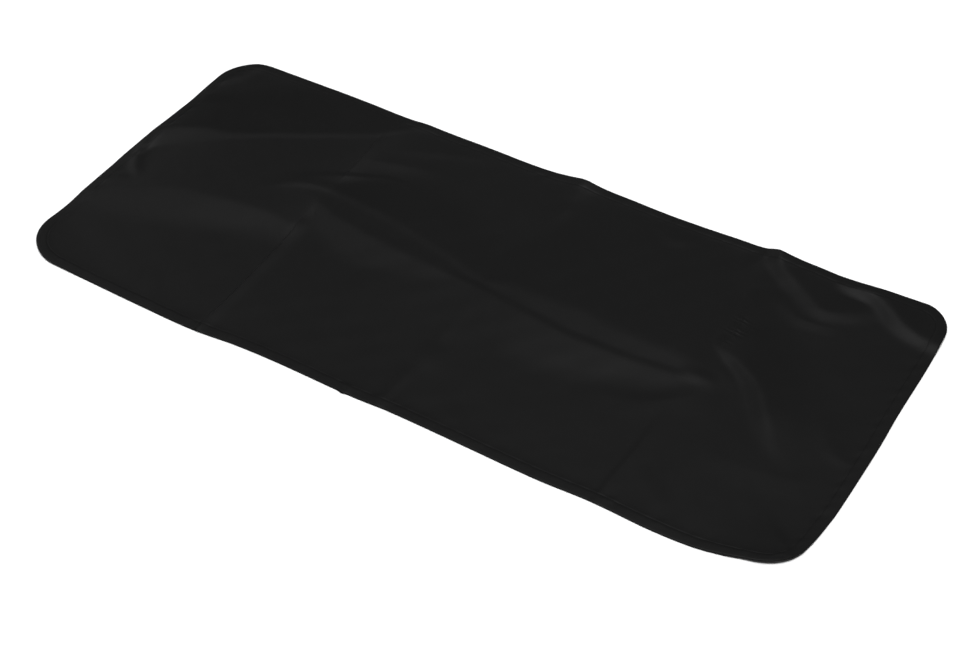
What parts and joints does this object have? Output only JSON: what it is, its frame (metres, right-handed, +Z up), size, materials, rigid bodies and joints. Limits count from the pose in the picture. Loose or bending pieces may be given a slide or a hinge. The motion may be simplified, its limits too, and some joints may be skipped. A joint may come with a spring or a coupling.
{
  "type": "keyboard dust cover",
  "caption": "Thin black cloth dust cover for an electronic keyboard, a hemmed rectangle with rounded corners, unfolded and laid flat with its packing creases.",
  "frame": {"origin": "middle of the cloth's outline, on the surface that it lies on", "axes": "+X along the cover, to the right in the picture; +Y across it, away from the viewer; +Z up"},
  "size_m": [1.0002, 0.4497, 0.0096],
  "materials": {
    "cover_fabric": "matt black woven polyester with a faint sheen"
  },
  "bodies": {
    "root": {"cover_cloth": "cover_fabric"}
  },
  "joints": []
}
